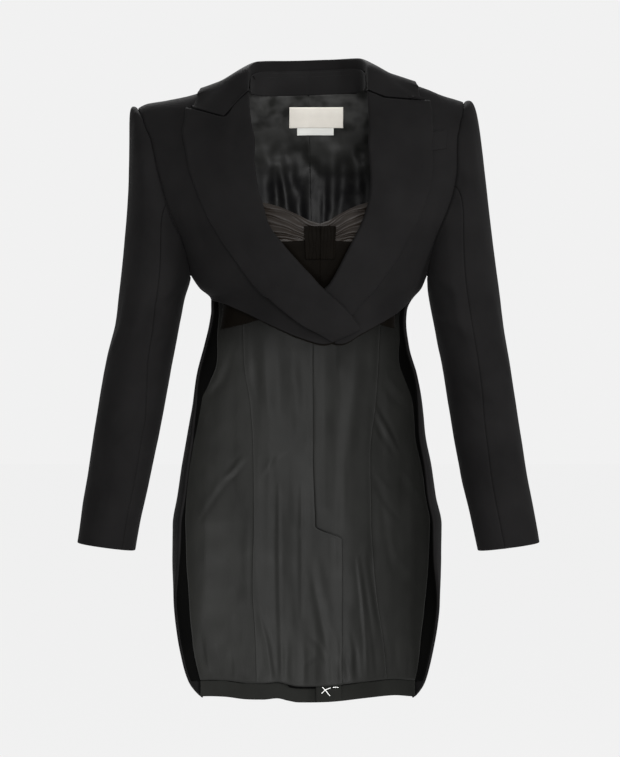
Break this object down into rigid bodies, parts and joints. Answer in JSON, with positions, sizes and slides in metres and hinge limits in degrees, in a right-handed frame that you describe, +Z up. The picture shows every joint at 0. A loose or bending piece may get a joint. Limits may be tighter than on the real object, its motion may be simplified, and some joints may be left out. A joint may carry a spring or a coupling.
{
  "type": "blazer",
  "caption": "Cropped wrap-front blazer with wide peaked lapels, long two-piece sleeves, a rounded tail open in front and a sewn-in bustier; it is worn on the upper body.",
  "frame": {"origin": "between the shoulders at the level of the back neck seam, where the wearer holds it up", "axes": "+Z up, -Y the way the wearer faces, +X to the wearer's left"},
  "size_m": [0.6113, 0.2475, 0.8724],
  "materials": {
    "shell_cloth": "matte",
    "lining_satin": "satin",
    "bustier_satin": "satin",
    "label_cloth": "matte"
  },
  "bodies": {
    "root": {"front_right": "shell_cloth", "front_left": "shell_cloth", "side_back_right": "shell_cloth", "side_back_left": "shell_cloth", "back_right": "shell_cloth", "back_left": "shell_cloth", "vent_underlap": "shell_cloth", "sleeve_top_right": "shell_cloth", "sleeve_under_right": "shell_cloth", "sleeve_top_left": "shell_cloth", "sleeve_under_left": "shell_cloth", "collar_fall": "shell_cloth", "collar_stand": "shell_cloth", "lapel_right": "shell_cloth", "lapel_left": "shell_cloth", "pocket_welt": "shell_cloth", "tail_facing_right": "shell_cloth", "tail_facing_left": "shell_cloth", "hem_band_right": "shell_cloth", "hem_band_left": "shell_cloth", "lining_right": "lining_satin", "lining_left": "lining_satin", "lining_side_right": "lining_satin", "lining_side_left": "lining_satin", "cup_right": "bustier_satin", "cup_left": "bustier_satin", "bust_bridge": "bustier_satin", "underbust_right": "bustier_satin", "underbust_left": "bustier_satin", "bust_band_right": "bustier_satin", "bust_band_left": "bustier_satin", "neck_label": "label_cloth", "size_tab": "label_cloth"}
  },
  "joints": []
}
